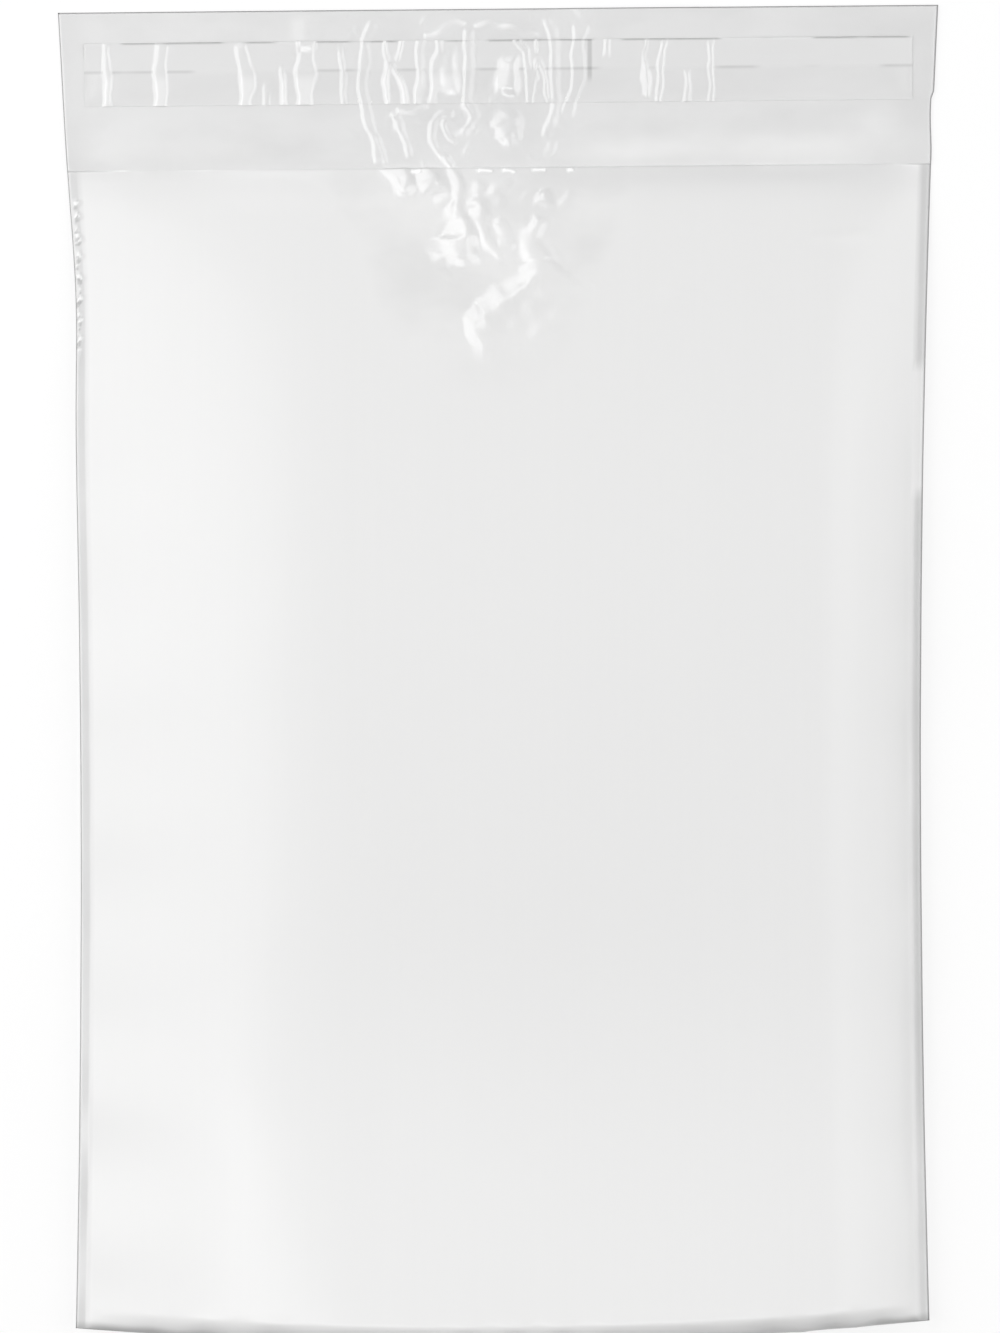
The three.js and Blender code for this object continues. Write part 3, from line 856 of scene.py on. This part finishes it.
# The liner: clear film over the adhesive, lifted into tunnels where the flap has shortened
liner = {  # mm
    "thickness": 0.08,
    "overAdhesive": 0.26,
    "dryGap": 0.12,
    "rimGap": 0.095,  # at its ends and its lower edge, which lie close on the film
    "rimReach": 6,
    "columns": 1100,
    "rows": 26,
    "stray": 0.2,  # how far its tunnels wander
    "foldStep": 0.3,  # how far apart the slope of a tunnel is felt
    "foldHighlight": 0.6,  # painted highlight on their right flanks, and inside them near the lower edge
    "insideHighlight": 0.5,
    "adhesiveLine": 0.4,  # how much of the adhesive's edge shows through
    "foldShadow": (26.4, 0.5),  # place of the painted shadow line beside the wide fold, and its share
}
linerTunnels = [
    {"line": [(-112.5, 15), (-113, 39)], "left": 1.55, "crest": (0.3, 0.1), "ends": 0.25},
    {"line": [(-97.5, 15), (-97.2, 36.8)], "left": 1.55, "crest": (1.0, 0.9), "ends": 0.05},
    {"line": [(-73, 15), (-72.5, 28.5), (-75, 36.9)], "left": 1.55, "crest": (1.2, 0.9), "ends": 0.06},
    {"line": [(-66.5, 15), (-66.5, 26)], "left": 1.4, "tilt": 14, "crest": (0.5, 0.4), "ends": 0.3},
    {"line": [(-61.5, 15), (-62.5, 31)], "left": 1.4, "tilt": 22, "ends": 0.2},
    {"line": [(-56, 15), (-55.5, 30), (-55.2, 40)], "left": 1.55, "crest": (1.4, 2.0), "ends": 0.05},
    {"line": [(-44, 15), (-45.5, 38)], "left": 1.4, "tilt": 16, "ends": 0.25},
    {"line": [(-31.6, 18.6), (-32.4, 24), (-31.5, 29), (-30.8, 31.5)],
     "left": 1.7, "right": 1.0, "ends": 0.1},
    {"line": [(-26.2, 17.5), (-27.4, 24.1), (-29.4, 28.4), (-30.6, 31.2)],
     "left": 1.8, "right": 1.0, "ends": 0.1},
    {"line": [(-31.3, 31.3), (-33, 34.2), (-32.7, 38)], "left": 1.1, "ends": 0.1},
    {"line": [(-29.6, 31.3), (-27.9, 34.2), (-27.6, 38)], "left": 1.1, "ends": 0.1},
    {"line": [(-22.9, 17), (-23.2, 21), (-22.9, 31), (-22.6, 38)], "left": 1.25, "right": 2.6, "ends": 0.05},
    {"line": [(-19.9, 18), (-19.2, 21.2), (-18.6, 28.4), (-17.5, 35.6), (-17.8, 38)],
     "left": 1.25, "right": 2.6, "ends": 0.06},
    {"line": [(-12.8, 19.4), (-13.3, 26), (-14, 33), (-14.3, 37)],
     "left": [7, 6, 5, 4], "right": 2.8, "tilt": 10.5, "ends": 0.3, "soft": 0.45},
    {"line": [(3.6, 19.8), (4.2, 25.5), (4.2, 29.8), (4.8, 33.8)],
     "left": [8, 8, 7, 6], "right": 3, "tilt": 11.5, "ends": 0.28, "soft": 0.4},
    {"line": [(9.4, 17), (9, 27), (8.2, 34)], "left": 1.1, "crest": (0.7, 0.4), "ends": 0.06},
    {"line": [(16, 17.5), (14, 21.2), (13.1, 27), (12, 31), (10.8, 28.4), (10.5, 24)],
     "left": 1.1, "ends": 0.08},
    {"line": [(7.6, 32.7), (4.2, 38)], "left": 0.8, "ends": 0.1},
    {"line": [(8.8, 33.3), (6, 38)], "left": 0.8, "ends": 0.1},
    {"line": [(11.4, 32.6), (10.5, 38)], "left": 0.8, "ends": 0.1},
    {"line": [(31.2, 31), (31.4, 38)], "left": 1.2, "tilt": 20, "crest": (0.2, 0.2), "ends": 0.25},
    {"line": [(42.8, 19.5), (43, 25), (42.6, 31)],
     "left": [1.6, 2.6, 1.2], "right": 1.2, "tilt": 16, "ends": 0.15, "soft": 0.25},
    {"line": [(42.2, 29.5), (42.6, 38)], "left": 0.8, "tilt": 16},
    {"line": [(46, 15), (47, 28), (48, 38)], "left": 1.2, "right": 0.8, "tilt": 22, "crest": (0.3, 0.3)},
    {"line": [(54.5, 15), (54.5, 29)], "left": 1.4, "tilt": 18, "ends": 0.2},
    {"line": [(61.5, 15), (61.5, 38)], "left": 1.2, "right": 0.7, "tilt": 18, "crest": (0.2, 0.2)},
]


def buildLiner():
    bm = startMesh("stuck", "linesAndShadow", "paintedHighlight")
    columns = np.linspace(linerLow.x, linerHigh.x, liner["columns"] + 1)
    rows = np.linspace(linerLow.y, linerHigh.y, liner["rows"] + 1)
    verts, x, y, _ = gridPanel(bm, columns, rows)
    tunnels = addCreases(x, y, linerTunnels, stray=liner["stray"])
    beside = addCreases(x + liner["foldStep"], y, linerTunnels, stray=liner["stray"])
    step = 1 - ease(y, adhesiveHigh.y - 0.3, adhesiveHigh.y + 0.5)
    step *= ease(y, adhesiveLow.y - 0.4, adhesiveLow.y + 0.2)
    lift = ease(y, linerHigh.y - 5, linerHigh.y) * (0.25 + 0.25 * np.sin(x / 7.3) * np.sin(x / 19 + 1))
    gap = liner["dryGap"] + (liner["overAdhesive"] - liner["dryGap"]) * step
    inward = np.minimum(np.minimum(x - linerLow.x, linerHigh.x - x), y - linerLow.y)
    gap = liner["rimGap"] + (gap - liner["rimGap"]) * ease(inward, 0, liner["rimReach"])
    settle(verts, x, y, flapLift(x, y) + bag["film"] / 2 + gap + lift + tunnels)
    broken = ease(np.sin(x / 2.9) + np.sin(x / 7.7 + 1) + 0.6 * np.sin(x / 17), -0.9, 0.3)
    faint = ease(np.sin(x / 3.7 + 2) + np.sin(x / 9.1) + 0.7 * np.sin(x / 21 + 1), -0.6, 0.8)
    onAdhesiveEdge = np.abs(y - adhesiveHigh.y) < 0.36
    # a broken dark line along the top edge, partly its cut edge and partly painted shadow under the lifted
    # dry edge
    linesAndShadow = (y > linerHigh.y - 0.01) * broken + liner["adhesiveLine"] * onAdhesiveEdge * faint
    foldAt, foldShadowShare = liner["foldShadow"]
    # painted shadow beside the wide fold
    linesAndShadow += foldShadowShare * (1 - ease(np.abs(x - foldAt), 0.3, 0.9)) * ease(y - mouth, 24, 27)
    # painted highlights on the tunnels' right flanks, and inside them near the lower edge
    folds = liner["foldHighlight"] * ease(tunnels - beside, 0.05, 0.12)
    inside = liner["insideHighlight"] * ease(tunnels, 0.14, 0.26) * (1 - ease(y - mouth, 25, 29)) * (x < 0)
    paint(bm, verts, "paintedHighlight", np.maximum(folds, inside))
    paint(bm, verts, "stuck", step)
    paint(bm, verts, "linesAndShadow", linesAndShadow * (1 - ease(tunnels, 0.05, 0.2)))
    thicken(bm, liner["thickness"])
    return dressed("releaseLiner", bm, linerFilm(), "liner", "release_liner")


linerPiece = buildLiner()


# Floor, lamps and world: large softboxes at both sides, a small one at the far corner, a narrow one in front
stageLook = {
    "floorSize": 8,  # m
    "floorDrop": 0.2,  # mm under the bag
    "floorTone": 0.94,
    "whiteShare": 0.8,  # of the floor that the camera sees as plain white
    "skyLight": 0.2,
}
softboxes = [  # place in m, size in m across and upwards, radiance
    {"name": "leftBox", "place": (-0.985, 0.27, 0.95), "size": (1.12, 1.7), "radiance": 2.35},
    {"name": "cornerBox", "place": (-0.42, 1.02, 1.0), "size": (0.6, 0.5), "radiance": 2.4},
    {"name": "rightBox", "place": (1.05, 0.1, 0.95), "size": (1.3, 1.9), "radiance": 1.68},
    {"name": "frontBox", "place": (-0.2, -0.45, 1.35), "size": (0.8, 0.25), "radiance": 4.2},
]


def buildStage():
    bm = bmesh.new()
    bmesh.ops.create_grid(bm, x_segments=1, y_segments=1, size=stageLook["floorSize"] / 2)
    mesh = bpy.data.meshes.new("floor")
    bm.to_mesh(mesh)
    bm.free()
    floor = bpy.data.objects.new("floor", mesh)
    floor.location.z = -stageLook["floorDrop"] * mm
    bpy.context.scene.collection.objects.link(floor)
    look = Finish(bpy.data.materials.new("floorWhite"))
    look.owner.cycles.emission_sampling = "NONE"
    matt = look.node("ShaderNodeBsdfDiffuse", None, {"Color": grey(stageLook["floorTone"])})
    white = look.node("ShaderNodeEmission", None, {"Strength": 1.0})
    share = look.between(look.seen(), 0, 1, 0, stageLook["whiteShare"])
    mesh.materials.append(look.close(look.node("ShaderNodeMixShader", None, {0: share, 1: matt, 2: white})))
    for box in softboxes:
        lamp = bpy.data.lights.new(box["name"], "AREA")
        lamp.shape = "RECTANGLE"
        lamp.size, lamp.size_y = box["size"]
        lamp.energy = box["radiance"] * math.pi * lamp.size * lamp.size_y
        holder = bpy.data.objects.new(box["name"], lamp)
        holder.location = box["place"]
        holder.rotation_euler = (-holder.location).to_track_quat("-Z", "Y").to_euler()
        holder.visible_camera = False
        bpy.context.scene.collection.objects.link(holder)
    sky = Finish(bpy.data.worlds.new("studio"))
    level = sky.between(sky.seen(), 0, 1, stageLook["skyLight"], 1.0)
    glow = sky.node("ShaderNodeBackground", None, {"Color": grey(1), "Strength": level})
    bpy.context.scene.world = sky.close(glow, "ShaderNodeOutputWorld")
    print("stage:", len(softboxes), "softboxes")


buildStage()
bpy.context.scene.view_settings.view_transform = "Standard"
